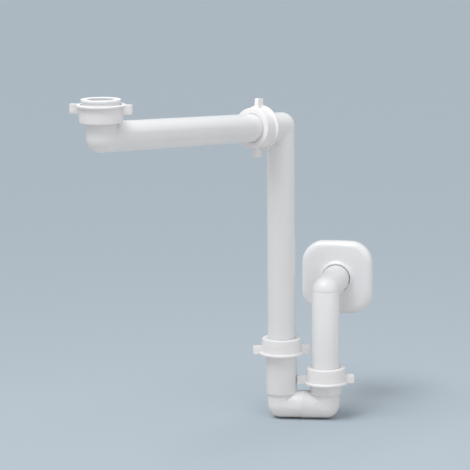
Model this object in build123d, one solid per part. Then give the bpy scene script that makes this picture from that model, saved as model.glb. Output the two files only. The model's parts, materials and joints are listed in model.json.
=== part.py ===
import os
from math import cos, radians, tan

from build123d import *

# Space saving sink trap, in millimetres.
# The origin is the top centre of the inlet seal, where the basin waste sits.
# +Z is up and +Y runs into the wall.

# Waste pipe
pipe_radius = 16.0
pipe_wall = 1.8

# Layout of the run, seen from above and from the side
arm_length = 338.0
arm_heading = 23.0        # degrees from +Y towards +X
arm_fall = 4.2            # degrees that the arm drops towards the downpipe
trap_drop = 324.0         # end of the arm's axis down to the axis of the trap's lower run
trap_spread = 51.0        # between the two legs of the trap
trap_heading = 5.0        # degrees from +X towards +Y
outlet_rise = 134.0       # lower run up to the outlet axis
outlet_length = 150.0
plate_reach = 80.0        # riser axis to the front of the wall plate

# Threaded sockets
socket_clearance = 0.4    # pipe in socket, all round
socket_wall = 1.4
neck_wall = 3.0           # threaded neck, measured at the bottom of the thread
thread_depth = 1.5
mouth_chamfer = 2.2
socket_floor = 2.0        # step outside the socket to the stop inside it

# Union nuts
nut_height = 19.0
nut_wall = 1.75
thread_clearance = 0.15
lip_thickness = 2.5
lip_clearance = 0.5       # nut lip round the pipe
flange_width = 2.7
flange_height = 2.6
wing_length = 7.5
wing_height = 10.0
wing_thickness = 4.8
wing_rounding = 1.5
nut_rounding = 1.0

# Rings and seals inside the nuts
ring_clearance = 0.3      # ring and seal round the pipe
ring_thickness = 2.0
ring_inset = 0.45         # ring edge inside the nut's thread
seal_head = 3.0           # straight part of a cone seal, above the socket mouth
seal_lip = 0.6            # thin end of a cone seal
face_gap = 0.1            # between flat faces that press together

# Inlet
inlet_seal_thickness = 2.5
inlet_seal_overhang = 0.95
collar_thickness = 6.0
collar_width = 3.8
inlet_nut_lift = 13.2     # from lying on the arm to the underside of the collar
nut_rest_gap = 0.3        # nut above the arm it lies on

# Where each socket's thread starts, from its own corner
arm_socket_start = 42.0
inlet_leg = 59.0
outlet_leg = 25.0
arm_socket_body = 6.0     # plain ring beside the arm nut
leg_step = 3.0            # top of the lower run down to the step under a socket
step_bead_height = 1.8    # moulded ring under that step
step_bead_width = 0.9
neck_foot = 6.6           # plain foot of the outlet's neck, seen below its nut
neck_foot_inset = 0.8     # inside the bottom of the thread

# How far each pipe stands in its socket
arm_insertion = 12.0
downpipe_insertion = 36.0
outlet_insertion = 16.0

# Turn of each nut's wings about its own axis, in degrees
inlet_nut_turn = -1.0
downpipe_nut_turn = 14.0
outlet_nut_turn = 14.0

# Moulding bead round the middle of the lower run
bead_height = 0.5
bead_width = 1.6

# Outlet end
depth_mark_reach = 50.0   # scored ring that shows how deep the pipe goes
depth_mark_width = 1.0
depth_mark_depth = 0.4
end_chamfer = 1.0

# Wall plate
plate_half_width = 42.2
plate_half_height = 43.8
plate_bow = 1.8           # how far each side swells at its middle
plate_corner = 23.0
plate_depth = 11.0
plate_edge = 7.5
plate_wall = 2.0
plate_hole_gap = 0.9      # hole's radius over the pipe's
plate_pipe_clearance = 0.7    # over the top of the pipe
plate_collar_rise = 3.5
plate_collar_lip = 1.7
plate_collar_foot = 3.6
plate_collar_rounding = 0.7
plate_sleeve_end = 1.0    # inner sleeve round the pipe, short of the wall

# Sizes that follow
pipe_bore = pipe_radius - pipe_wall
socket_bore = pipe_radius + socket_clearance
socket_radius = socket_bore + socket_wall
thread_core = socket_bore + neck_wall
nut_bore = thread_core + thread_depth + thread_clearance
nut_radius = nut_bore + nut_wall
flange_radius = nut_radius + flange_width
wing_reach = flange_radius + wing_length
lip_hole = pipe_radius + lip_clearance
ring_bore = pipe_radius + ring_clearance
ring_radius = nut_bore - ring_inset

ring_base = nut_height - lip_thickness - face_gap - ring_thickness
seal_top = ring_base - face_gap
neck_height = seal_top - seal_head

arm_slope = radians(arm_fall)
nut_on_arm = pipe_radius / cos(arm_slope) - lip_hole * tan(arm_slope) + nut_rest_gap
collar_base = nut_on_arm + lip_thickness + inlet_nut_lift + face_gap
inlet_rise = collar_base + collar_thickness
inlet_seal_radius = pipe_radius + collar_width + inlet_seal_overhang
leg_step_rise = pipe_radius - leg_step
socket_stop_rise = leg_step_rise + socket_floor
arm_step = arm_socket_start - arm_socket_body
arm_stop = arm_step + socket_floor

plate_hole = pipe_radius + plate_hole_gap
plate_sag = plate_hole_gap - plate_pipe_clearance
through = 1.0             # how far a cutting tool passes the face it opens

# Directions and corners of the run
up = Vector(0, 0, 1)
wall_way = Vector(0, 1, 0)
arm_way = wall_way.rotate(Axis.X, -arm_fall).rotate(Axis.Z, -arm_heading)
arm_upward = (up - arm_way * up.dot(arm_way)).normalized()
trap_way = Vector(1, 0, 0).rotate(Axis.Z, trap_heading)

inlet_corner = up * -(inlet_seal_thickness + inlet_rise)
arm_corner = inlet_corner + arm_way * arm_length
inlet_leg_corner = arm_corner - up * trap_drop
outlet_leg_corner = inlet_leg_corner + trap_way * trap_spread
outlet_corner = outlet_leg_corner + up * outlet_rise

from_base = (Align.CENTER, Align.CENTER, Align.MIN)


def rod(start, way, radius, length):
    """A solid bar from a point, along a direction."""
    return Plane(origin=start, z_dir=way).location * Cylinder(radius, length, align=from_base)


def elbow(corner, legs, radius):
    """Two bars that meet at a corner, with a ball as the outside of the bend."""
    solid = Pos(corner) * Sphere(radius)
    for way, length in legs:
        solid += rod(corner, way, radius, length)
    return solid


def socket_frame(corner, way, start):
    """The plane of a socket's open thread end, with Z towards the pipe that enters it."""
    return Plane(origin=corner + way * start, z_dir=way)


def nut_frame(frame, wing_way):
    """A socket's frame with X along the wings of its nut."""
    return Plane(origin=frame.origin, x_dir=wing_way, z_dir=frame.z_dir)


def ring(radius, bore, base, height):
    """A plain ring on the Z axis."""
    outer = Cylinder(radius, height, align=from_base)
    return Pos(0, 0, base) * (outer - Cylinder(bore, height, align=from_base))


def round_profile(points):
    """A closed outline in radius and height, turned once about Z."""
    outline = Polyline(*points, close=True)
    return revolve(Plane.XZ * make_face(outline), Axis.Z)


# Sockets: a plain body round the pipe, then the threaded neck with its chamfered mouth
def socket_outside(body_length):
    body = Pos(0, 0, -body_length) * Cylinder(socket_radius, body_length, align=from_base)
    return body + Cylinder(thread_core, neck_height, align=from_base)


def socket_inside(depth_below):
    depth = depth_below + neck_height
    bore = Pos(0, 0, -depth_below) * Cylinder(socket_bore, depth + through, align=from_base)
    mouth = round_profile([
        (0, neck_height - mouth_chamfer),
        (socket_bore, neck_height - mouth_chamfer),
        (socket_bore + mouth_chamfer, neck_height),
        (socket_bore + mouth_chamfer, neck_height + through),
        (0, neck_height + through),
    ])
    return bore + mouth


# Union nut: open thread end at Z zero, lip at the far end, two wings by the flange
def union_nut():
    body = Cylinder(nut_radius, nut_height, align=from_base)
    body = fillet(body.edges().group_by(Axis.Z)[-1], nut_rounding)
    body += Cylinder(flange_radius, flange_height, align=from_base)
    wings = Box(2 * wing_reach, wing_thickness, wing_height, align=from_base)
    outer_edges = wings.edges().group_by(Axis.X)[0] + wings.edges().group_by(Axis.X)[-1]
    far_edges = [edge for edge in outer_edges if edge.center().Z > flange_height / 2]
    body += fillet(far_edges, wing_rounding)
    thread_room = Cylinder(nut_bore, nut_height - lip_thickness, align=from_base)
    return body - thread_room - Cylinder(lip_hole, nut_height, align=from_base)


def slip_ring():
    return ring(ring_radius, ring_bore, ring_base, ring_thickness)


# Cone seal: a flat head under the slip ring and a taper that enters the socket's mouth
def cone_seal():
    seat = socket_bore + mouth_chamfer - face_gap
    taper_top = neck_height + face_gap
    taper_end = taper_top - (seat - ring_bore - seal_lip)
    return round_profile([
        (ring_bore, taper_end),
        (ring_bore + seal_lip, taper_end),
        (seat, taper_top),
        (ring_radius, taper_top),
        (ring_radius, seal_top),
        (ring_bore, seal_top),
    ])


# Inlet: elbow, long tube and the collar that the nut pulls up against the waste
def inlet_arm():
    tube_length = arm_length - (arm_socket_start + neck_height) + arm_insertion
    shape = elbow(inlet_corner, [(up, inlet_rise), (arm_way, tube_length)], pipe_radius)
    collar_start = inlet_corner + up * collar_base
    shape += rod(collar_start, up, pipe_radius + collar_width, collar_thickness)
    bore_legs = [(up, inlet_rise + through), (arm_way, tube_length + through)]
    return shape - elbow(inlet_corner, bore_legs, pipe_bore)


def inlet_seal():
    return ring(inlet_seal_radius, pipe_bore, -inlet_seal_thickness, inlet_seal_thickness)


def inlet_nut():
    open_end = inlet_corner + up * (nut_on_arm + nut_height)
    wing_way = Vector(1, 0, 0).rotate(Axis.Z, inlet_nut_turn)
    return Plane(origin=open_end, x_dir=wing_way, z_dir=-up).location * union_nut()


# Downpipe: side socket for the arm, round corner and the long tube
arm_joint = socket_frame(arm_corner, -arm_way, arm_socket_start)
downpipe_joint = socket_frame(inlet_leg_corner, up, inlet_leg)
outlet_joint = socket_frame(outlet_leg_corner, up, outlet_leg)


def downpipe():
    tube_length = trap_drop - inlet_leg - neck_height + downpipe_insertion
    shape = elbow(arm_corner, [(-arm_way, arm_socket_start), (-up, tube_length)], pipe_radius)
    shape += arm_joint.location * socket_outside(arm_socket_body)
    bore_legs = [(-arm_way, arm_socket_start), (-up, tube_length + through)]
    shape -= elbow(arm_corner, bore_legs, pipe_bore)
    return shape - arm_joint.location * socket_inside(arm_socket_start - arm_stop)


# Trap: two upright sockets joined by a short level run, moulded in one piece
def trap_bend():
    run = rod(inlet_leg_corner, trap_way, pipe_radius, trap_spread)
    hollow = rod(inlet_leg_corner, trap_way, pipe_bore, trap_spread)
    for corner, joint, leg in (
        (inlet_leg_corner, downpipe_joint, inlet_leg),
        (outlet_leg_corner, outlet_joint, outlet_leg),
    ):
        run += elbow(corner, [(up, leg)], pipe_radius)
        run += joint.location * socket_outside(leg - leg_step_rise)
        bead_start = corner + up * (leg_step_rise - step_bead_height)
        run += rod(bead_start, up, pipe_radius + step_bead_width, step_bead_height)
        hollow += elbow(corner, [(up, leg)], pipe_bore)
        hollow += joint.location * socket_inside(leg - socket_stop_rise)
    foot_start = outlet_leg_corner + up * (outlet_leg - neck_foot)
    run += rod(foot_start, up, thread_core - neck_foot_inset, neck_foot)
    bead = round_profile([
        (pipe_bore, -bead_width / 2),
        (pipe_radius, -bead_width / 2),
        (pipe_radius + bead_height, 0),
        (pipe_radius, bead_width / 2),
        (pipe_bore, bead_width / 2),
    ])
    middle = inlet_leg_corner + trap_way * (trap_spread / 2)
    return run + Plane(origin=middle, z_dir=trap_way).location * bead - hollow


# Outlet pipe: riser, round corner and the level tube that enters the wall
def outlet_pipe():
    riser_length = outlet_rise - outlet_leg - neck_height + outlet_insertion
    legs = [(-up, riser_length), (wall_way, outlet_length)]
    shape = elbow(outlet_corner, legs, pipe_radius)
    wall_end = outlet_corner + wall_way * outlet_length
    shape = chamfer(
        [edge for edge in shape.edges() if abs(edge.center().Y - wall_end.Y) < end_chamfer / 2],
        end_chamfer,
    )
    mark = ring(pipe_radius + through, pipe_radius - depth_mark_depth, 0, depth_mark_width)
    mark_start = wall_end - wall_way * (depth_mark_reach + depth_mark_width)
    shape -= Plane(origin=mark_start, z_dir=wall_way).location * mark
    bore_legs = [(-up, riser_length + through), (wall_way, outlet_length + through)]
    return shape - elbow(outlet_corner, bore_legs, pipe_bore)


# Wall plate: a shallow rounded shell, open at the back, with a raised collar round its hole
# and a sleeve behind it that keeps the plate square on the pipe
def plate_block(inset):
    half_width = plate_half_width - inset
    half_height = plate_half_height - inset
    side = half_width - plate_bow
    end = half_height - plate_bow
    sides = [
        ThreePointArc((-side, -end), (0, -half_height), (side, -end)),
        ThreePointArc((side, -end), (half_width, 0), (side, end)),
        ThreePointArc((side, end), (0, half_height), (-side, end)),
        ThreePointArc((-side, end), (-half_width, 0), (-side, -end)),
    ]
    outline = make_face(sides)
    outline = fillet(outline.vertices(), plate_corner - inset)
    block = extrude(outline, plate_depth - inset)
    return fillet(block.edges().group_by(Axis.Z)[-1], plate_edge - inset)


def wall_plate():
    shell = plate_block(0) - plate_block(plate_wall)
    lip = plate_hole + plate_collar_lip
    foot = lip + plate_collar_foot
    top = plate_depth + plate_collar_rise
    cove_middle = (
        lip + plate_collar_foot * 0.3,
        plate_depth + plate_collar_rise * 0.3,
    )
    profile = (
        Polyline((foot, plate_depth), (foot, plate_depth - plate_wall), (lip, plate_depth - plate_wall),
                 (lip, plate_sleeve_end), (plate_hole, plate_sleeve_end), (plate_hole, top), (lip, top))
        + ThreePointArc((lip, top), cove_middle, (foot, plate_depth))
    )
    collar = revolve(Plane.XZ * make_face(profile), Axis.Z)
    shell += collar
    shell -= Cylinder(plate_hole, plate_depth + top, align=from_base)
    rim = [edge for edge in shell.edges().filter_by(GeomType.CIRCLE)
           if abs(edge.center().Z - top) < through / 10]
    shell = fillet(rim, plate_collar_rounding)
    back = outlet_corner + wall_way * (plate_reach + plate_depth) - up * plate_sag
    return Plane(origin=back, x_dir=(1, 0, 0), z_dir=-wall_way).location * shell


arm_nut_frame = nut_frame(arm_joint, arm_upward)
downpipe_wings = Vector(1, 0, 0).rotate(Axis.Z, downpipe_nut_turn)
downpipe_nut_frame = nut_frame(downpipe_joint, downpipe_wings)
outlet_wings = Vector(1, 0, 0).rotate(Axis.Z, outlet_nut_turn)
outlet_nut_frame = nut_frame(outlet_joint, outlet_wings)

pieces = {
    "inlet_seal": inlet_seal(),
    "inlet_nut": inlet_nut(),
    "inlet_arm": inlet_arm(),
    "downpipe": downpipe(),
    "trap_bend": trap_bend(),
    "outlet_pipe": outlet_pipe(),
    "wall_plate": wall_plate(),
}
for joint_name, frame in (
    ("arm", arm_nut_frame),
    ("downpipe", downpipe_nut_frame),
    ("outlet", outlet_nut_frame),
):
    pieces[joint_name + "_nut"] = frame.location * union_nut()
    pieces[joint_name + "_slip_ring"] = frame.location * slip_ring()
    pieces[joint_name + "_cone_seal"] = frame.location * cone_seal()

os.makedirs("parts", exist_ok=True)
for name, piece in pieces.items():
    export_step(piece, f"parts/{name}.step")
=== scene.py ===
# %% [markdown]
# This lesson dresses a space saving sink trap. Its solids arrive as a fixed frame, in metres, with
# every piece where it belongs, and the lesson builds the pieces that show on top of it: moulded
# plastic pipes with soft edges, union nuts with wings and a real thread, a thin wall plate and the
# seals. A piece made here hides the plain solid that it stands for and moves with the same body.

# %% Load the frame
import json
from math import atan2, cos, pi, radians, sin, tan

import bmesh
import bpy
from mathutils import Matrix, Vector


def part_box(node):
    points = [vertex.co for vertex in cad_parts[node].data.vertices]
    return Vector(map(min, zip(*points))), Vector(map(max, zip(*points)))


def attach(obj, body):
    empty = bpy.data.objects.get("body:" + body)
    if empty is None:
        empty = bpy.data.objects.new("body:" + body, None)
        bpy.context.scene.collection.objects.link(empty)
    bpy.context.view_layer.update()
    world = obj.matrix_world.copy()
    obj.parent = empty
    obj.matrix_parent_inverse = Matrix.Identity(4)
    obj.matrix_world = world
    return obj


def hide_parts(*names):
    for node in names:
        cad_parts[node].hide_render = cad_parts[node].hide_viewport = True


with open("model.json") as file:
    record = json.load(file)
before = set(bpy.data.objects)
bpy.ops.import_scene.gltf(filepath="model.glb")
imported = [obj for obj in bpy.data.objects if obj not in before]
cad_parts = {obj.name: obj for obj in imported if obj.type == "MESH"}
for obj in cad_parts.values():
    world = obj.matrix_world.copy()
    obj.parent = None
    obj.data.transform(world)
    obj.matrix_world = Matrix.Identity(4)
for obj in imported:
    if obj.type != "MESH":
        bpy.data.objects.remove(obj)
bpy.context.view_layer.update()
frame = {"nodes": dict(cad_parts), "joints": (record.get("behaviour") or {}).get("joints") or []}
mm = 0.001
print("frame loaded, solids:", len(frame["nodes"]))

# %% [markdown]
# The joints say where the run of pipe turns. Each swivel sits on the axis of a pipe, so its anchor
# is a corner of the run and its axis is the pipe's direction. Reading the corners from the frame
# keeps every new piece in line with the solids, whatever their lengths.

# %% Corners and directions of the run
joints = {joint["name"]: joint for joint in frame["joints"]}
up = Vector((0, 0, 1))
wall_way = Vector((0, 1, 0))
arm_corner = Vector(joints["downpipe_swing"]["pos_m"])
arm_way = Vector(joints["downpipe_swing"]["axis"]).normalized()
well_corner = Vector(joints["trap_turn"]["pos_m"])
leg_corner = Vector(joints["outlet_turn"]["pos_m"])
inlet_corner = arm_corner - arm_way * (arm_corner.x / arm_way.x)
pipe_radius = (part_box("outlet_pipe")[1].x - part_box("outlet_pipe")[0].x) / 2
outlet_corner = Vector((leg_corner.x, leg_corner.y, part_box("outlet_pipe")[1].z - pipe_radius))
trap_way = (leg_corner - well_corner).normalized()
arm_upward = (up - arm_way * up.dot(arm_way)).normalized()
print("corners in mm:", [[round(v / mm, 1) for v in corner] for corner in
                         (inlet_corner, arm_corner, well_corner, leg_corner, outlet_corner)])

# %% Pipe sizes that several pieces share
pipe_bore = pipe_radius - 1.8 * mm
socket_bore = pipe_radius + 0.4 * mm
socket_radius = socket_bore + 1.4 * mm
thread_core = socket_bore + 3.0 * mm
neck_height = 11.3 * mm
mouth_chamfer = 2.2 * mm
nut_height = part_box("downpipe_nut")[1].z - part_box("downpipe_nut")[0].z
around = 96          # flats round a pipe, few enough to stay light and too small to see
print("pipe radius in mm:", round(pipe_radius / mm, 2))
print("nut height in mm:", round(nut_height / mm, 2))

# %% [markdown]
# A few small helpers do what a hand would do: name a new piece and go on in edit mode, select what
# a rule picks out, weld points that coincide, join two pieces, and lay a finished mesh where it
# belongs. One rounds the corners of an outline with short arcs, because no moulded edge is sharp.
# One draws an open ring out along Z, station by station, as a potter pulls up a wall.

# %% Helpers for edit mode
same_place = 1e-6            # metres, closer than this counts as the same place
print("points coincide within mm:", same_place / mm)


def start_edit(name):
    """Names the new object and goes on in edit mode."""
    piece = bpy.context.object
    piece.name = name
    piece.data.name = name
    bpy.ops.object.mode_set(mode="EDIT")
    return piece


def pick(rule, kind="VERT"):
    """Selects only the points, edges or faces that the rule picks out."""
    bpy.ops.mesh.select_mode(type=kind)
    bpy.ops.mesh.select_all(action="DESELECT")
    edit = bmesh.from_edit_mesh(bpy.context.object.data)
    parts = {"VERT": edit.verts, "EDGE": edit.edges, "FACE": edit.faces}[kind]
    for part in parts:
        if rule(part):
            part.select_set(True)
    edit.select_flush_mode()
    bmesh.update_edit_mesh(bpy.context.object.data)


def weld():
    """Merges all points that lie in the same place and turns the faces outward, in edit mode."""
    bpy.ops.mesh.select_all(action="SELECT")
    bpy.ops.mesh.remove_doubles(threshold=same_place)
    bpy.ops.mesh.normals_make_consistent(inside=False)


# %% Helpers for whole pieces
def select_alone(piece):
    """Makes a piece the only selected object and the active one."""
    bpy.ops.object.select_all(action="DESELECT")
    piece.select_set(True)
    bpy.context.view_layer.objects.active = piece


def join_onto(piece, other):
    """Makes another piece a part of this one."""
    select_alone(piece)
    other.select_set(True)
    bpy.ops.object.join()


def lay_in_place(piece, origin, z_way, x_way):
    """Puts a mesh made at the world's origin where it belongs, and leaves the object unturned."""
    side = z_way.cross(x_way).normalized()
    across = side.cross(z_way).normalized()
    turn = Matrix((across, side, z_way.normalized())).transposed().to_4x4()
    piece.data.transform(Matrix.Translation(origin) @ turn)
    piece.data.update()
    return piece


# %% Helpers for outlines
least_turn = radians(8)      # a gentler corner stays as it is


def rounded(corners, radius, steps=3):
    """The outline with its corners turned into arcs of that radius, or less on short sides."""
    points = [Vector(corner).to_2d() for corner in corners]
    softened = [points[0]]
    for before, corner, after in zip(points, points[1:], points[2:]):
        back, on = before - corner, after - corner
        turn = pi - back.angle(on, pi)
        if turn < least_turn:
            softened.append(corner)
            continue
        reach = min(radius * tan(turn / 2), 0.45 * back.length, 0.45 * on.length)
        first, last = corner + back.normalized() * reach, corner + on.normalized() * reach
        for step in range(steps + 1):
            share = step / steps
            softened.append(first.lerp(corner, share).lerp(corner.lerp(last, share), share))
    return softened + [points[-1]]


def draw_out(stations, radius):
    """Extrudes the selected ring along Z through stations of height and radius."""
    for height, wide in stations:
        share = wide / radius
        bpy.ops.mesh.extrude_region_move()
        bpy.ops.transform.resize(value=(share, share, 0), center_override=(0, 0, height))
        radius = wide


corner_points = len(rounded([(0, 0), (0, 1), (1, 1)], 0.1)) - 2
print("points on a rounded corner:", corner_points)

# %% [markdown]
# A moulded elbow is two straight tubes that meet at a mitre on the inside of the bend and run
# round a ball on the outside. Two cylinders and a sphere could be united, but surfaces that only
# touch unite badly. A ring does it cleanly: its outer half is spun about the bend's own axis, which
# sweeps the ball, and its inner half slides onto the mitre plane, where both tubes share it. A bevel
# softens the inner crease, and another draws the fine line that the mould leaves beside the ball.

# %% Rings at the corner
def on_plane(point, slope, side):
    """True on the mitre plane, which leans by the slope towards the side of the other leg."""
    off_plane = point.z * sin(slope) - side * point.x * cos(slope)
    return side * point.x > same_place and abs(off_plane) < same_place


def pick_ring(slope, side):
    """Selects the open ring at the corner: its outer half is level, its inner half on the mitre."""
    def belongs(point):
        level = abs(point.z) < same_place and side * point.x < same_place
        return level or on_plane(point, slope, side)
    pick(lambda edge: all(belongs(v.co) for v in edge.verts), "EDGE")


def turn_mesh(angle):
    """Turns the whole mesh about Y, in edit mode."""
    data = bpy.context.object.data
    edit = bmesh.from_edit_mesh(data)
    bmesh.ops.transform(edit, matrix=Matrix.Rotation(angle, 4, "Y"), verts=edit.verts)
    bmesh.update_edit_mesh(data)


# %% Elbow shell
bend_steps = 20
crease_rounding = 0.9 * mm


def elbow_shell(name, radius, angle, first_leg, second_leg, crease=0.0, seam=0.0):
    """An open shell: corner at the origin, first leg up Z, second leg at that angle towards +X.

    Crease is the rounding of the inner corner. Seam is the depth of a fine line beside the ball.
    """
    bpy.ops.object.select_all(action="DESELECT")
    bpy.ops.mesh.primitive_circle_add(vertices=around, radius=radius)
    shell = start_edit(name)
    slope = angle / 2
    pick(lambda edge: all(v.co.x < same_place for v in edge.verts), "EDGE")
    bpy.ops.mesh.spin(steps=bend_steps, angle=pi - angle, center=(0, 0, 0), axis=(0, 1, 0))
    bpy.ops.mesh.select_all(action="SELECT")
    bpy.ops.mesh.remove_doubles(threshold=same_place)
    edit = bmesh.from_edit_mesh(shell.data)
    for vertex in edit.verts:
        if vertex.co.x > same_place and abs(vertex.co.z) < same_place:
            vertex.co.z = vertex.co.x / tan(slope)
    bmesh.update_edit_mesh(shell.data)
    pick_ring(slope, 1)
    draw_out(first_leg, radius)
    turn_mesh(-angle)
    pick_ring(slope, -1)
    draw_out(second_leg, radius)
    turn_mesh(angle)
    if seam:
        pick(lambda edge: all(abs(v.co.z) < same_place and v.co.x < same_place
                              for v in edge.verts), "EDGE")
        bpy.ops.mesh.bevel(offset=2 * seam, segments=2)
        pick(lambda vertex: abs(vertex.co.z) < seam / 2 and vertex.co.x < -0.1 * radius)
        share = 1 - seam / radius
        bpy.ops.transform.resize(value=(share, share, 1), center_override=(0, 0, 0))
    if crease:
        pick(lambda edge: all(on_plane(v.co, slope, 1) and v.co.x > 0.3 * radius
                              for v in edge.verts), "EDGE")
        bpy.ops.mesh.bevel(offset=crease, segments=3, clamp_overlap=True)
    bpy.ops.object.mode_set(mode="OBJECT")
    return shell


print("degrees a step round a square bend:", 90 / bend_steps)


# %% Closing and smoothing a wall
def close_up(outside, inside):
    """Joins an outer and an inner shell that end in the same rings into one closed wall."""
    join_onto(outside, inside)
    bpy.ops.object.mode_set(mode="EDIT")
    weld()
    bpy.ops.object.mode_set(mode="OBJECT")
    return outside


def open_edges(piece):
    """How many edges don't have exactly two faces, which should be none on a closed piece."""
    mesh = bmesh.new()
    mesh.from_mesh(piece.data)
    count = sum(len(edge.link_faces) != 2 for edge in mesh.edges)
    mesh.free()
    return count


def smooth(piece, angle=32):
    """Shades a piece smooth where its faces meet at less than that angle in degrees."""
    select_alone(piece)
    bpy.ops.object.shade_smooth_by_angle(angle=radians(angle))
    print(piece.name, "faces:", len(piece.data.polygons), "open edges:", open_edges(piece))


# %% [markdown]
# Each pipe is described by the outline of its wall along each leg, as height above the corner and
# radius. A plain end only has its rim softened. A fine ring marks where two parts of the mould met.
# A socket end steps out to a plain sleeve, then to the threaded neck, turns over at a chamfered
# mouth and runs back down the bore to the stop. The outer and the inner wall each end in one ring
# inside the pipe, a little way down from the rim, and are joined there.

# %% Leg outlines
edge_rounding = 0.45 * mm
join_depth = 3 * mm          # from a rim down to the ring where the two walls are joined
join_below_stop = 1.5 * mm   # the same below a socket's stop
outline_lead = 6 * mm        # straight run before a step in an outline
mould_line = 0.2 * mm        # depth of the fine ring that the mould's parts leave
mould_line_width = 0.8 * mm
mould_line_start = 18 * mm   # from the downpipe's corner


print("pipe wall in mm:", round((pipe_radius - pipe_bore) / mm, 2))


def plain_end(length, bore=pipe_bore, rounding=edge_rounding):
    """The outer wall up to the rim and in to the bore."""
    return rounded([(0, pipe_radius), (length, pipe_radius), (length, bore),
                    (length - join_depth, bore)], rounding)[1:]


def fine_ring(height):
    """A shallow groove round the pipe where two parts of the mould met."""
    half = mould_line_width / 2
    return [(height - half, pipe_radius), (height - half / 3, pipe_radius - mould_line),
            (height + half / 3, pipe_radius - mould_line), (height + half, pipe_radius)]


def socket_end(sleeve_start, neck_start, stop):
    """The outer wall up over a socket's mouth and down its bore to the stop."""
    mouth = neck_start + neck_height
    return rounded([
        (sleeve_start - outline_lead, pipe_radius),
        (sleeve_start, pipe_radius),
        (sleeve_start, socket_radius),
        (neck_start, socket_radius),
        (neck_start, thread_core),
        (mouth, thread_core),
        (mouth, socket_bore + mouth_chamfer),
        (mouth - mouth_chamfer, socket_bore),
        (stop, socket_bore),
        (stop, pipe_bore),
        (stop - join_below_stop, pipe_bore),
    ], edge_rounding)[1:]


# %% Inlet arm with its collar
inlet_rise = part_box("inlet_arm")[1].z - inlet_corner.z
collar_thickness = 6 * mm
collar_radius = pipe_radius + 3.8 * mm
arm_end = 41.3 * mm          # from the arm's far end to the corner of the downpipe
arm_reach = (arm_corner - inlet_corner).length - arm_end
collar_base = inlet_rise - collar_thickness
collar_leg = rounded([
    (collar_base - outline_lead, pipe_radius),
    (collar_base, pipe_radius),
    (collar_base, collar_radius),
    (inlet_rise, collar_radius),
    (inlet_rise, pipe_bore),
    (inlet_rise - join_depth, pipe_bore),
], edge_rounding)
arm_angle = up.angle(arm_way)
outside = elbow_shell("inlet_arm_outside", pipe_radius, arm_angle, collar_leg,
                      plain_end(arm_reach), crease_rounding)
inside = elbow_shell("inlet_arm_inside", pipe_bore, arm_angle,
                     [(inlet_rise - join_depth, pipe_bore)],
                     [(arm_reach - join_depth, pipe_bore)])
arm_tube = close_up(outside, inside)
arm_tube.name = "long_inlet_arm"
lay_in_place(arm_tube, inlet_corner, up, arm_way)
smooth(arm_tube)

# %% Downpipe with its side socket
arm_joint_start = 42 * mm
arm_socket_body = 6 * mm
arm_socket_stop = arm_joint_start - 4 * mm
side_leg = socket_end(arm_joint_start - arm_socket_body, arm_joint_start, arm_socket_stop)
down_reach = arm_corner.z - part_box("downpipe")[0].z
down_angle = (-arm_way).angle(-up)
outside = elbow_shell("downpipe_outside", pipe_radius, down_angle, side_leg,
                      fine_ring(mould_line_start) + plain_end(down_reach), crease_rounding)
inside = elbow_shell("downpipe_inside", pipe_bore, down_angle,
                     [(arm_socket_stop - join_below_stop, pipe_bore)],
                     [(down_reach - join_depth, pipe_bore)])
downpipe = close_up(outside, inside)
downpipe.name = "long_downpipe"
lay_in_place(downpipe, arm_corner, -arm_way, -up)
smooth(downpipe)

# %% Outlet pipe
riser_reach = outlet_corner.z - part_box("outlet_pipe")[0].z
level_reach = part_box("outlet_pipe")[1].y - outlet_corner.y
mark_reach = 51 * mm         # from the pipe's end to the far edge of its scored ring
mark_width = 1 * mm
mark_slope = 0.1 * mm
mark_depth = 0.4 * mm
mark_start = level_reach - mark_reach
mark_to_end_start = 5 * mm
end_chamfer = 1 * mm
end_rounding = 0.3 * mm
level_leg = [
    (mark_start, pipe_radius),
    (mark_start + mark_slope, pipe_radius - mark_depth),
    (mark_start + mark_width - mark_slope, pipe_radius - mark_depth),
    (mark_start + mark_width, pipe_radius),
] + rounded([
    (mark_start + mark_to_end_start, pipe_radius),
    (level_reach - end_chamfer, pipe_radius),
    (level_reach, pipe_radius - end_chamfer),
    (level_reach, pipe_bore),
    (level_reach - join_depth, pipe_bore),
], end_rounding)[1:]
outside = elbow_shell("outlet_outside", pipe_radius, pi / 2, plain_end(riser_reach), level_leg,
                      crease_rounding, mould_line)
inside = elbow_shell("outlet_inside", pipe_bore, pi / 2,
                     [(riser_reach - join_depth, pipe_bore)],
                     [(level_reach - join_depth, pipe_bore)])
outlet = close_up(outside, inside)
outlet.name = "riser_and_outlet"
lay_in_place(outlet, outlet_corner, -up, wall_way)
smooth(outlet)

# %% [markdown]
# The trap is one moulding: two upright sockets joined by a short level run. Half of the run is an
# elbow, so one elbow with a mirror makes both bends and the bead where the mould closed. The socket
# sleeves cut into the run in curves that no hand would draw, so here a union does the work, and the
# hollow is taken out of the finished outside in the same way.

# %% Double elbow
trap_spread = (leg_corner - well_corner).length
bead_height = 0.5 * mm
bead_half = 0.8 * mm
mirror_gap = 1e-5
print("between the trap's legs in mm:", round(trap_spread / mm, 1))


def cap_rings(piece):
    """Closes every open ring of a piece with one flat face."""
    select_alone(piece)
    bpy.ops.object.mode_set(mode="EDIT")
    bpy.ops.mesh.select_mode(type="EDGE")
    bpy.ops.mesh.select_all(action="DESELECT")
    bpy.ops.mesh.select_non_manifold()
    bpy.ops.mesh.edge_face_add()
    bpy.ops.mesh.select_all(action="SELECT")
    bpy.ops.mesh.normals_make_consistent(inside=False)
    bpy.ops.object.mode_set(mode="OBJECT")


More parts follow.
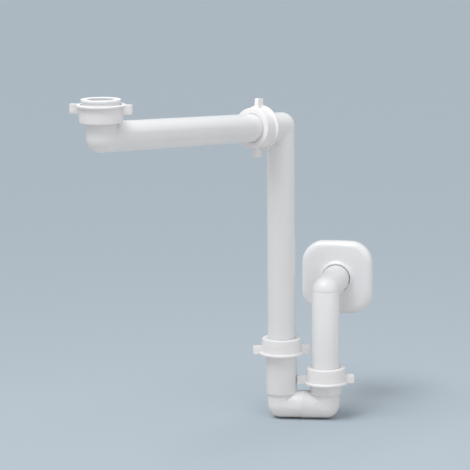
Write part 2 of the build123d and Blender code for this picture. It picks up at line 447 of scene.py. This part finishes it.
def double_elbow(name, radius, height, bead):
    """Two legs of that height and the run between them, as one closed solid."""
    half_run = [(trap_spread / 2, radius)]
    if bead:
        half_run = [(trap_spread / 2 - bead_half, radius), (trap_spread / 2, radius + bead_height)]
    shell = elbow_shell(name, radius, pi / 2, [(height, radius)], half_run)
    mirror = shell.modifiers.new("other half", "MIRROR")
    shell.data.transform(Matrix.Translation((-trap_spread / 2, 0, 0)))
    mirror.use_axis = (True, False, False)
    mirror.merge_threshold = mirror_gap
    bpy.context.view_layer.objects.active = shell
    bpy.ops.object.modifier_apply(modifier=mirror.name)
    shell.data.transform(Matrix.Translation((trap_spread / 2, 0, 0)))
    cap_rings(shell)
    return shell


# %% Turning, uniting and subtracting
def turned(name, outline, flats=around):
    """A solid of revolution about Z: a ring drawn through a closed outline of height and radius."""
    bpy.ops.object.select_all(action="DESELECT")
    height, radius = outline[0]
    bpy.ops.mesh.primitive_circle_add(vertices=flats, radius=radius, location=(0, 0, height))
    bpy.ops.object.transform_apply(location=True)
    piece = start_edit(name)
    bpy.ops.mesh.select_all(action="SELECT")
    draw_out(outline[1:], radius)
    bpy.ops.object.mode_set(mode="OBJECT")
    return piece


def combine(piece, other, operation):
    """Unites or subtracts another piece, which is used up, and merges points left side by side."""
    boolean = piece.modifiers.new("boolean", "BOOLEAN")
    boolean.operation = operation
    boolean.solver = "EXACT"
    boolean.object = other
    bpy.context.view_layer.objects.active = piece
    bpy.ops.object.modifier_apply(modifier=boolean.name)
    bpy.data.objects.remove(other)
    select_alone(piece)
    bpy.ops.object.mode_set(mode="EDIT")
    weld()
    bpy.ops.object.mode_set(mode="OBJECT")


# %% Trap bend
inlet_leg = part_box("downpipe_nut")[0].z - well_corner.z
outlet_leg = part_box("outlet_nut")[0].z - leg_corner.z
sleeve_start = pipe_radius - 3 * mm      # heights above the corners of the run
socket_stop = sleeve_start + 2 * mm
buried = 4 * mm              # how far the elbow's legs reach into the sleeves
bead_groove = 0.35 * mm
foot_bead = 1.5 * mm
foot_bead_radius = pipe_radius + 0.95 * mm
neck_foot = 6.6 * mm
neck_foot_radius = thread_core - 0.8 * mm
trap = double_elbow("low_trap_bend", pipe_radius, sleeve_start + buried, bead=True)
hollow = double_elbow("trap_hollow", pipe_bore, socket_stop + buried, bead=False)
for offset, leg, foot in ((0, inlet_leg, 0), (trap_spread, outlet_leg, neck_foot)):
    mouth = leg + neck_height
    bead_top = sleeve_start - bead_groove
    plain_foot = [(leg - foot, socket_radius), (leg - foot, neck_foot_radius),
                  (leg, neck_foot_radius)]
    sleeve = turned("sleeve", rounded([
        (bead_top - foot_bead, pipe_radius - mm),
        (bead_top - foot_bead, foot_bead_radius),
        (bead_top, foot_bead_radius),
        (bead_top, socket_bore),
        (sleeve_start, socket_bore),
        (sleeve_start, socket_radius),
        *(plain_foot if foot else [(leg, socket_radius)]),
        (leg, thread_core),
        (mouth, thread_core),
        (mouth, socket_bore),
    ], edge_rounding))
    bore = turned("bore", [
        (socket_stop, socket_bore),
        (mouth - mouth_chamfer, socket_bore),
        (mouth + mm, socket_bore + mouth_chamfer + mm),
    ])
    for part, target in ((sleeve, trap), (bore, hollow)):
        cap_rings(part)
        part.data.transform(Matrix.Translation((offset, 0, 0)))
        combine(target, part, "UNION")
combine(trap, hollow, "DIFFERENCE")
lay_in_place(trap, well_corner, up, trap_way)
smooth(trap)

# %% [markdown]
# A union nut is turned like a pot: from the open end it rises over a flange and a plain wall to a
# lip that bears on the slip ring, then runs back down inside. Its two wings are drawn out of the
# wall itself, four flats wide, so that they grow from the nut without a seam. A trapezoid wound by
# the Screw modifier gives the thread, with the real pitch, and its ends fade into the wall.

# %% Thread ridge
pitch = 2.309 * mm
steps_a_turn = 72
root_half = 0.82 * mm        # half the ridge's width at its root and at its crest
crest_half = 0.24 * mm
root_depth = 0.1 * mm        # how far the ridge's root lies inside the wall
print("thread pitch in mm:", round(pitch / mm, 3))


def thread_ridge(name, root, crest, start, turns, shift=0.0):
    """A right-handed ridge about Z between a root and a crest radius, its ends faded out."""
    bpy.ops.object.select_all(action="DESELECT")
    bpy.ops.mesh.primitive_plane_add(size=1)
    ridge = start_edit(name)
    bpy.ops.mesh.delete(type="ONLY_FACE")
    bpy.ops.object.mode_set(mode="OBJECT")
    base = start + shift * pitch
    section = [(root, -root_half), (crest, -crest_half), (root, root_half), (crest, crest_half)]
    for vertex, (radius, height) in zip(ridge.data.vertices, section):
        vertex.co = (radius, 0, base + height)
    screw = ridge.modifiers.new("thread", "SCREW")
    screw.angle = 2 * pi
    screw.screw_offset = pitch
    screw.iterations = turns
    screw.steps = screw.render_steps = steps_a_turn
    screw.use_smooth_shade = True
    bpy.context.view_layer.objects.active = ridge
    ridge.select_set(True)
    bpy.ops.object.modifier_apply(modifier=screw.name)
    fade = pitch / 8
    for vertex in ridge.data.vertices:
        radius = vertex.co.to_2d().length
        from_ends = min(vertex.co.z - base, base + turns * pitch - vertex.co.z)
        share = min(1, max(0.02, (from_ends + crest_half) / fade))
        wanted = root + (radius - root) * share
        vertex.co.xy *= wanted / radius
    cap_rings(ridge)
    return ridge


# %% Nut sizes
nut_flats = 120
nut_bore = 21.05 * mm
nut_radius = 22.8 * mm
flange_radius = 25.5 * mm
flange_height = 2.6 * mm
lip_thickness = 2.5 * mm
lip_hole = pipe_radius + 0.3 * mm
lip_face = lip_hole + 2 * mm
wing_reach = 33 * mm
wing_half = 2.4 * mm
wing_height = 10 * mm
wing_flats_each_side = 2
wing_top_rounding = 1.6 * mm
wing_foot_rounding = 0.5 * mm
mouth_flare = 0.2 * mm
mouth_depth = 0.5 * mm
wall_taper = 0.25 * mm
flange_rounding = 0.7 * mm
shoulder_rounding = 1.1 * mm
lip_rounding = 0.35 * mm
inner_rounding = 0.4 * mm
nut_thread_crest = 19.6 * mm
nut_thread_start = 1.7 * mm
nut_thread_turns = 2
edge_softening = 0.35 * mm
sharp_edge = radians(38)     # only edges that turn by more are softened
print("across the wings in mm:", round(2 * wing_reach / mm, 1))


# %% Wings
def draw_wing(way):
    """Draws one wing out of the wall, towards +X or -X."""
    window = (wing_flats_each_side + 0.2) * 2 * pi / nut_flats

    def in_wing(face):
        middle = face.calc_center_median()
        outside = middle.to_2d().length > nut_radius - 0.1 * mm
        return (outside and 1e-5 < middle.z < wing_height
                and abs(atan2(middle.y, way * middle.x)) < window)

    pick(in_wing, "FACE")
    bpy.ops.mesh.extrude_region_move()
    edit = bmesh.from_edit_mesh(bpy.context.object.data)
    flat = 2 * pi / nut_flats
    for vertex in edit.verts:
        if vertex.select:
            turn = atan2(vertex.co.y, way * vertex.co.x)
            vertex.co.y = wing_half * turn / (wing_flats_each_side * flat)
            vertex.co.x = way * wing_reach
    bmesh.update_edit_mesh(bpy.context.object.data)
    bpy.ops.mesh.remove_doubles(threshold=same_place)
    for height, rounding in ((wing_height, wing_top_rounding), (0, wing_foot_rounding)):
        pick(lambda edge: all(abs(v.co.x - way * wing_reach) < 1e-5
                              and abs(v.co.z - height) < 1e-5 for v in edge.verts), "EDGE")
        bpy.ops.mesh.bevel(offset=rounding, segments=4)


# %% Union nut
nut_outline = (
    rounded([(0, nut_bore + mouth_flare), (0, flange_radius), (flange_height, flange_radius),
             (flange_height, nut_radius), (wing_height, nut_radius)], flange_rounding)
    + rounded([(wing_height, nut_radius), (nut_height, nut_radius - wall_taper),
               (nut_height, lip_face)], shoulder_rounding, 4)[1:]
    + rounded([(nut_height, lip_face), (nut_height, lip_hole),
               (nut_height - lip_thickness, lip_hole)], lip_rounding)[1:]
    + rounded([(nut_height - lip_thickness, lip_hole), (nut_height - lip_thickness, nut_bore),
               (mouth_depth, nut_bore), (0, nut_bore + mouth_flare)], inner_rounding)[1:]
)
nut = turned("union_nut", nut_outline, nut_flats)
bpy.ops.object.mode_set(mode="EDIT")
weld()
draw_wing(1)
draw_wing(-1)
bpy.ops.object.mode_set(mode="OBJECT")
soften = nut.modifiers.new("soft edges", "BEVEL")
soften.width = edge_softening
soften.segments = 2
soften.limit_method = "ANGLE"
soften.angle_limit = sharp_edge
soften.use_clamp_overlap = True
bpy.context.view_layer.objects.active = nut
bpy.ops.object.modifier_apply(modifier=soften.name)
smooth(nut, 40)
inner_thread = thread_ridge("inner_thread", nut_bore + root_depth, nut_thread_crest,
                            nut_thread_start, nut_thread_turns)
smooth(inner_thread, 40)
join_onto(nut, inner_thread)

# %% [markdown]
# The four nuts are the same moulding, so each is a copy with its own mesh, laid where its solid is.
# Three sit on the threaded necks with their lips towards the pipe. The fourth hangs on the inlet
# arm, open end up, waiting for the basin waste. Each neck's own thread is wound in the frame of its
# nut, half a pitch out of step, so the two ridges mesh and stay meshed as the nut unscrews.

# %% Place the nuts and the necks' threads
arm_joint = arm_corner - arm_way * arm_joint_start
wing_turns = {"inlet_nut": -1.0, "downpipe_nut": 14.0, "outlet_nut": 14.0}


def level_way(name):
    """The direction in which an upright nut's wings point."""
    return Matrix.Rotation(radians(wing_turns[name]), 3, "Z") @ Vector((1, 0, 0))


nut_places = {
    "inlet_nut": (Vector((0, 0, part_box("inlet_nut")[1].z)), -up, level_way("inlet_nut")),
    "arm_nut": (arm_joint, -arm_way, arm_upward),
    "downpipe_nut": (well_corner + up * inlet_leg, up, level_way("downpipe_nut")),
    "outlet_nut": (leg_corner + up * outlet_leg, up, level_way("outlet_nut")),
}
nuts = {}
for node, (origin, z_way, x_way) in nut_places.items():
    copy = nut.copy()
    copy.data = nut.data.copy()
    bpy.context.collection.objects.link(copy)
    copy.name = "winged_" + node
    nuts[node] = lay_in_place(copy, origin, z_way, x_way)
bpy.data.objects.remove(nut)

neck_thread_crest = 20.8 * mm
neck_thread_turns = 3
for node, neck in (("arm_nut", downpipe), ("downpipe_nut", trap), ("outlet_nut", trap)):
    ridge = thread_ridge("neck_thread", thread_core - root_depth, neck_thread_crest,
                         nut_thread_start, neck_thread_turns, 0.5)
    smooth(ridge, 40)
    lay_in_place(ridge, *nut_places[node])
    join_onto(neck, ridge)
print("nuts:", sorted(nuts))

# %% [markdown]
# Under each joint nut's lip lies a hard slip ring, and under that a cone seal whose taper enters the
# socket's mouth. The nut has to come off over both, so their rims stay inside its thread. Each is
# turned from an outline that comes back to its first point.

# %% Slip rings and cone seals
seal_hole = pipe_radius + 0.3 * mm
seal_rim = nut_thread_crest - 0.2 * mm
flat_gap = 0.1 * mm
ring_top = nut_height - lip_thickness - flat_gap
ring_thickness = 2 * mm
ring_base = ring_top - ring_thickness
head_thickness = 2.9 * mm
head_top = ring_base - flat_gap
head_base = head_top - head_thickness
seat_radius = thread_core - 0.9 * mm
taper_end_radius = seal_hole + 0.6 * mm
taper_end = head_base - (seat_radius - taper_end_radius)
ring_rounding = 0.25 * mm
between = (seal_hole + seal_rim) / 2


def closed_ring(name, corners, rounding):
    """A solid ring turned from an outline that comes back to its first point."""
    ring = turned(name, rounded(corners, rounding))
    bpy.ops.object.mode_set(mode="EDIT")
    weld()
    bpy.ops.object.mode_set(mode="OBJECT")
    smooth(ring)
    return ring


slip_ring_outline = [
    (ring_base, between), (ring_base, seal_rim), (ring_top, seal_rim),
    (ring_top, seal_hole), (ring_base, seal_hole), (ring_base, between),
]
cone_seal_outline = [
    (head_top, between), (head_top, seal_hole), (taper_end, seal_hole),
    (taper_end, taper_end_radius), (head_base, seat_radius), (head_base, seal_rim),
    (head_top, seal_rim), (head_top, between),
]
rings = {}
for joint in ("arm", "downpipe", "outlet"):
    for kind, feel, outline in (("slip_ring", "hard", slip_ring_outline),
                                ("cone_seal", "soft", cone_seal_outline)):
        ring = closed_ring(f"{feel}_{joint}_{kind}", outline, ring_rounding)
        rings[f"{joint}_{kind}"] = lay_in_place(ring, *nut_places[joint + "_nut"])

# %% [markdown]
# The wall plate is a thin shell that hides the hole in the wall. Its outline is a flat face with
# its corners rounded and its sides pushed out a little. That outline is drawn forward, over a soft
# edge and onto a ring round the pipe hole, over the raised collar and back along the sleeve that
# keeps the plate square on the pipe. The same steps, one wall thickness further in, make its inside.
# Both surfaces start and end in the same rings, so joining them closes the wall.

# %% Plate outline
plate_low, plate_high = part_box("wall_plate")
plate_half_width = (plate_high.x - plate_low.x) / 2
plate_half_height = (plate_high.z - plate_low.z) / 2
plate_bow = 1.8 * mm
plate_corner = 23 * mm
straight_side = 10 * mm      # any longer edge of the outline is one of its four sides
plate_depth = 11 * mm
plate_edge = 7.5 * mm
plate_wall = 2 * mm
plate_hole = pipe_radius + 0.9 * mm
collar_lip = plate_hole + 1.7 * mm
collar_foot = collar_lip + 3.6 * mm
collar_top = plate_high.y - plate_low.y
sleeve_end = 1 * mm
sleeve_rounding = 0.3 * mm
collar_rounding = 0.7 * mm
hole_rounding = 0.2 * mm
cove_steps = 6
edge_steps = 8
corner_steps = 14
side_cuts = 15
ring_shares = (0.35, 0.55, 1)    # of the way from the soft edge to the collar's foot
plate_size = [round(2 * half / mm, 1) for half in (plate_half_width, plate_half_height)]
print("plate in mm:", plate_size)


def plate_outline(name):
    """The open outline of the plate at its back rim."""
    bpy.ops.object.select_all(action="DESELECT")
    bpy.ops.mesh.primitive_plane_add(size=2)
    shell = start_edit(name)
    side = plate_half_width - plate_bow
    end = plate_half_height - plate_bow
    bpy.ops.mesh.select_all(action="SELECT")
    bpy.ops.transform.resize(value=(side, end, 1))
    bpy.ops.mesh.bevel(offset=plate_corner, segments=corner_steps, affect="VERTICES")
    pick(lambda edge: edge.calc_length() > straight_side, "EDGE")
    bpy.ops.mesh.subdivide(number_cuts=side_cuts)
    bpy.ops.mesh.select_all(action="SELECT")
    bpy.ops.mesh.delete(type="ONLY_FACE")
    edit = bmesh.from_edit_mesh(shell.data)
    for vertex in edit.verts:
        x, y = vertex.co.x / side, vertex.co.y / end
        vertex.co.x += plate_bow * x * (1 - y * y)
        vertex.co.y += plate_bow * y * (1 - x * x)
    bmesh.update_edit_mesh(shell.data)
    bpy.ops.mesh.select_all(action="SELECT")
    return shell


# %% Plate surface
def draw_forward(inset, height, before, inset_before):
    """Extrudes the outline to a further inset and height."""
    bpy.ops.mesh.extrude_region_move(TRANSFORM_OT_translate={"value": (0, 0, height - before)})
    shrink = [(half - inset) / (half - inset_before)
              for half in (plate_half_width, plate_half_height)]
    bpy.ops.transform.resize(value=(*shrink, 1), center_override=(0, 0, height))


def draw_to_circle(share, radius, height):
    """Extrudes the ring part of the way along each point's own ray to a circle."""
    bpy.ops.mesh.extrude_region_move()
    edit = bmesh.from_edit_mesh(bpy.context.object.data)
    for vertex in edit.verts:
        if vertex.select:
            flat = vertex.co.to_2d()
            vertex.co.xy = flat.lerp(flat.normalized() * radius, share)
            vertex.co.z = height
    bmesh.update_edit_mesh(bpy.context.object.data)


def plate_face(name, wall, foot):
    """The plate's surface from its rim to a ring round the hole, one wall further in if given."""
    shell = plate_outline(name)
    front = plate_depth - wall
    edge = plate_edge - wall
    height_before, inset_before = 0, 0
    if wall:
        draw_forward(wall, 0, 0, 0)
        inset_before = wall
    for step in range(edge_steps + 1):
        turn = step / edge_steps * pi / 2
        height = front - edge + edge * sin(turn)
        drawn_in = wall + edge * (1 - cos(turn))
        draw_forward(drawn_in, height, height_before, inset_before)
        height_before, inset_before = height, drawn_in
    for share in ring_shares:
        draw_to_circle(share, foot, front)
    return shell


# %% Wall plate
face = plate_face("plate_front", 0, collar_foot)
cove = [(plate_depth + (collar_top - plate_depth) * (1 - cos(turn)),
         collar_lip + (collar_foot - collar_lip) * (1 - sin(turn)))
        for turn in (pi / 2 * step / cove_steps for step in range(1, cove_steps))]
rim_middle = (collar_top, (collar_lip + plate_hole) / 2)
lip_start = (collar_top - 0.8 * mm, collar_lip)
rim = (rounded([lip_start, (collar_top, collar_lip), rim_middle], collar_rounding)
       + rounded([rim_middle, (collar_top, plate_hole), (plate_depth, plate_hole)],
                 hole_rounding)[1:])
sleeve = rounded([(plate_depth, plate_hole), (sleeve_end, plate_hole), (sleeve_end, collar_lip),
                  (plate_depth - plate_wall, collar_lip)], sleeve_rounding)[1:]
draw_out(cove + rim + sleeve, collar_foot)
bpy.ops.object.mode_set(mode="OBJECT")
back = plate_face("plate_back", plate_wall, collar_lip)
bpy.ops.object.mode_set(mode="OBJECT")
plate = close_up(face, back)
plate.name = "rounded_wall_plate"
plate_middle = (plate_low + plate_high) / 2
wall_point = Vector((plate_middle.x, plate_high.y, plate_middle.z))
lay_in_place(plate, wall_point, -wall_way, Vector((1, 0, 0)))
smooth(plate, 40)

# %% [markdown]
# The washer on the inlet is a plain ring of soft rubber. It is turned in the same way as the slip
# rings, which gives it the rounded rim that light picks out.

# %% Inlet seal
seal_low, seal_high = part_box("inlet_seal")
seal_radius = (seal_high.x - seal_low.x) / 2
washer_rounding = 0.5 * mm
washer_start = (seal_low.z, pipe_bore + 1 * mm)
seal = closed_ring("soft_inlet_seal", [
    washer_start, (seal_low.z, seal_radius), (seal_high.z, seal_radius),
    (seal_high.z, pipe_bore), (seal_low.z, pipe_bore), washer_start,
], washer_rounding)

# %% [markdown]
# Moulded plastic is never one flat colour. A broad, faint noise shifts its white and its gloss, as
# the melt does where it flowed and cooled. A fine grain lifts the surface by about a hundredth of a
# millimetre, so that highlights break up softly. Both noises read the object's own coordinates, in
# metres, so they keep their size and stay on the piece when it moves.

# %% How a moulded finish is made
flow_scale = 28
plastic_index = 1.49
coat_roughness = 0.12


def moulded(name, colour, shade, roughness, gloss_change, grain_size, grain_height, coat=0.0):
    """A procedural finish: colour and shade are its two whites, sizes are in metres."""
    material = bpy.data.materials.new(name)
    material.use_nodes = True
    nodes, links = material.node_tree.nodes, material.node_tree.links
    shader = nodes["Principled BSDF"]
    place = nodes.new("ShaderNodeTexCoord")
    flow = nodes.new("ShaderNodeTexNoise")
    flow.inputs["Scale"].default_value = flow_scale
    flow.inputs["Detail"].default_value = 3
    whites = nodes.new("ShaderNodeMix")
    whites.data_type = "RGBA"
    whites.inputs["A"].default_value = (*colour, 1)
    whites.inputs["B"].default_value = (*shade, 1)
    gloss = nodes.new("ShaderNodeMapRange")
    gloss.inputs["To Min"].default_value = roughness - gloss_change
    gloss.inputs["To Max"].default_value = roughness + gloss_change
    grain = nodes.new("ShaderNodeTexNoise")
    grain.inputs["Scale"].default_value = 1 / grain_size
    grain.inputs["Detail"].default_value = 2
    relief = nodes.new("ShaderNodeBump")
    relief.inputs["Strength"].default_value = 1
    relief.inputs["Distance"].default_value = grain_height
    links.new(place.outputs["Object"], flow.inputs["Vector"])
    links.new(place.outputs["Object"], grain.inputs["Vector"])
    links.new(flow.outputs["Fac"], whites.inputs["Factor"])
    links.new(flow.outputs["Fac"], gloss.inputs["Value"])
    links.new(whites.outputs["Result"], shader.inputs["Base Color"])
    links.new(gloss.outputs["Result"], shader.inputs["Roughness"])
    links.new(grain.outputs["Fac"], relief.inputs["Height"])
    links.new(relief.outputs["Normal"], shader.inputs["Normal"])
    shader.inputs["IOR"].default_value = plastic_index
    shader.inputs["Coat Weight"].default_value = coat
    shader.inputs["Coat Roughness"].default_value = coat_roughness
    return material


# %% White plastics and grey rubber
pipe_white = moulded("satin_white_pipe", (0.80, 0.805, 0.81), (0.765, 0.775, 0.785),
                     0.34, 0.05, 1.4 * mm, 0.012 * mm)
nut_white = moulded("white_nut", (0.83, 0.82, 0.825), (0.79, 0.785, 0.795),
                    0.38, 0.05, 0.9 * mm, 0.012 * mm)
plate_white = moulded("glossy_white_plate", (0.82, 0.83, 0.84), (0.79, 0.805, 0.82),
                      0.26, 0.04, 2.2 * mm, 0.010 * mm, coat=0.3)
ring_white = moulded("natural_slip_ring", (0.74, 0.75, 0.75), (0.68, 0.69, 0.70),
                     0.5, 0.06, 0.8 * mm, 0.010 * mm)
washer_white = moulded("soft_white_washer", (0.80, 0.81, 0.82), (0.75, 0.76, 0.775),
                       0.55, 0.06, 0.5 * mm, 0.015 * mm)
seal_grey = moulded("grey_seal_rubber", (0.34, 0.35, 0.36), (0.29, 0.30, 0.31),
                    0.6, 0.06, 0.5 * mm, 0.015 * mm)
finishes = (pipe_white, nut_white, plate_white, ring_white, washer_white, seal_grey)
print("finishes:", [finish.name for finish in finishes])

# %% Give every piece its body and its finish
new_pieces = {
    "inlet_arm": (arm_tube, pipe_white, "pipe"),
    "downpipe": (downpipe, pipe_white, "pipe"),
    "trap_bend": (trap, pipe_white, "pipe"),
    "outlet_pipe": (outlet, pipe_white, "pipe"),
    "wall_plate": (plate, plate_white, "wall_plate"),
    "inlet_seal": (seal, washer_white, "soft_washer"),
}
for node, copy in nuts.items():
    new_pieces[node] = (copy, nut_white, "nut")
for node, ring in rings.items():
    slip = node.endswith("slip_ring")
    new_pieces[node] = (ring, ring_white, "slip_ring") if slip else (ring, seal_grey, "cone_seal")
for node, (piece, material, slot) in new_pieces.items():
    piece.data.materials.clear()
    piece.data.materials.append(material)
    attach(piece, node)
    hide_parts(node)
print("pieces dressed:", len(new_pieces))

# %% [markdown]
# The studio is a pale floor under one broad, soft lamp, high on the left, with a faint one on the
# right, even light from all round and a round lamp over the arm that brightens its top. Distant
# lamps light the whole floor alike, which leaves no dark far end. White plastic needs something a
# little darker behind it, so the camera and the reflections see a pale blue-grey floor and a sky of
# nearly the same colour. The light that the floor throws back on the model is a neutral grey, so the
# plastic doesn't turn blue.

# %% Rays that see the background
def seen_directly(nodes, links):
    """A socket that is 1 for rays from the camera, off a shiny face or through a clear one."""
    rays = nodes.new("ShaderNodeLightPath")
    direct = rays.outputs["Is Camera Ray"]
    for kind in ("Is Glossy Ray", "Is Transmission Ray"):
        either = nodes.new("ShaderNodeMath")
        either.operation = "MAXIMUM"
        links.new(direct, either.inputs[0])
        links.new(rays.outputs[kind], either.inputs[1])
        direct = either.outputs["Value"]
    return direct


# %% Floor
floor_size = 30
floor_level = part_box("trap_bend")[0].z
floor_colour = (0.41, 0.475, 0.53)
floor_bounce = (0.58, 0.58, 0.585)
bpy.ops.object.select_all(action="DESELECT")
bpy.ops.mesh.primitive_plane_add(size=floor_size, location=(0, 0, floor_level))
bpy.ops.object.transform_apply(location=True)
floor = bpy.context.object
floor.name = "studio_floor"
floor_paint = bpy.data.materials.new("pale_floor")
floor_paint.use_nodes = True
floor_nodes, floor_links = floor_paint.node_tree.nodes, floor_paint.node_tree.links
floor_shader = floor_nodes["Principled BSDF"]
floor_mix = floor_nodes.new("ShaderNodeMix")
floor_mix.data_type = "RGBA"
floor_mix.inputs["A"].default_value = (*floor_bounce, 1)
floor_mix.inputs["B"].default_value = (*floor_colour, 1)
floor_links.new(seen_directly(floor_nodes, floor_links), floor_mix.inputs["Factor"])
floor_links.new(floor_mix.outputs["Result"], floor_shader.inputs["Base Color"])
floor_shader.inputs["Roughness"].default_value = 0.85
floor_shader.inputs["Specular IOR Level"].default_value = 0.2
floor.data.materials.append(floor_paint)
print("floor level in mm:", round(floor_level / mm, 1))


# %% Lamps
def distant_lamp(name, towards, strength, spread):
    """A distant lamp in that direction, with that spread in degrees for soft shadows."""
    bpy.ops.object.light_add(type="SUN")
    lamp = bpy.context.object
    lamp.name = name
    lamp.data.energy = strength
    lamp.data.angle = radians(spread)
    lamp.rotation_euler = (-Vector(towards)).to_track_quat("-Z", "Y").to_euler()


distant_lamp("high_left_lamp", (-0.32, -0.32, 0.89), 1.5, 32)
distant_lamp("right_fill_lamp", (0.75, -0.6, 0.3), 0.3, 50)
lamp_over_arm_place = (0.1, -0.2, 0.72)
lamp_over_arm_size = 0.7
lamp_over_arm_watts = 3.6
lamp_over_arm_tilt = radians(18)
bpy.ops.object.light_add(type="AREA", location=lamp_over_arm_place)
top_lamp = bpy.context.object
top_lamp.name = "lamp_over_the_arm"
top_lamp.data.shape = "DISK"
top_lamp.data.size = lamp_over_arm_size
top_lamp.data.energy = lamp_over_arm_watts
top_lamp.rotation_euler = (lamp_over_arm_tilt, 0, 0)

# %% Sky
sky_light = 0.55
sky_seen = (0.37, 0.43, 0.485)
sky = bpy.data.worlds.new("even_sky")
bpy.context.scene.world = sky
sky.use_nodes = True
sky_nodes, sky_links = sky.node_tree.nodes, sky.node_tree.links
around_light = sky_nodes["Background"]
around_light.inputs["Color"].default_value = (1, 1, 1, 1)
around_light.inputs["Strength"].default_value = sky_light
seen = sky_nodes.new("ShaderNodeBackground")
seen.inputs["Color"].default_value = (*sky_seen, 1)
choose = sky_nodes.new("ShaderNodeMixShader")
sky_links.new(seen_directly(sky_nodes, sky_links), choose.inputs[0])
sky_links.new(around_light.outputs[0], choose.inputs[1])
sky_links.new(seen.outputs[0], choose.inputs[2])
sky_links.new(choose.outputs[0], sky_nodes["World Output"].inputs["Surface"])
bpy.context.scene.view_settings.view_transform = "Standard"
print("sky light:", sky_light)

# %% [markdown]
# The photograph was taken with a long lens from the left of the outlet's axis and a little above.
# The angles, the distance and the lens below bring the model's edges onto the photograph's to about
# a pixel. The camera has no depth of field, so every piece is sharp.

# %% Camera
camera_azimuth = radians(11.25)
camera_elevation = radians(9.62)
camera_roll = radians(-0.39)
camera_place = Vector((0.6289, -2.4613, 0.2877))
image_width = 470
focal_pixels = 2486.4
sensor_width = 36
forward = Vector((-sin(camera_azimuth) * cos(camera_elevation),
                  cos(camera_azimuth) * cos(camera_elevation),
                  -sin(camera_elevation)))
level_right = forward.cross(up).normalized()
level_up = level_right.cross(forward)
right = level_right * cos(camera_roll) + level_up * sin(camera_roll)
camera_up = level_up * cos(camera_roll) - level_right * sin(camera_roll)
camera_data = bpy.data.cameras.new("long_lens")
camera_data.sensor_width = sensor_width
camera_data.lens = sensor_width * focal_pixels / image_width
camera = bpy.data.objects.new("camera", camera_data)
bpy.context.collection.objects.link(camera)
camera.matrix_world = (Matrix.Translation(camera_place)
                       @ Matrix((right, camera_up, -forward)).transposed().to_4x4())
bpy.context.scene.camera = camera
print("lens in mm:", round(camera_data.lens, 1))
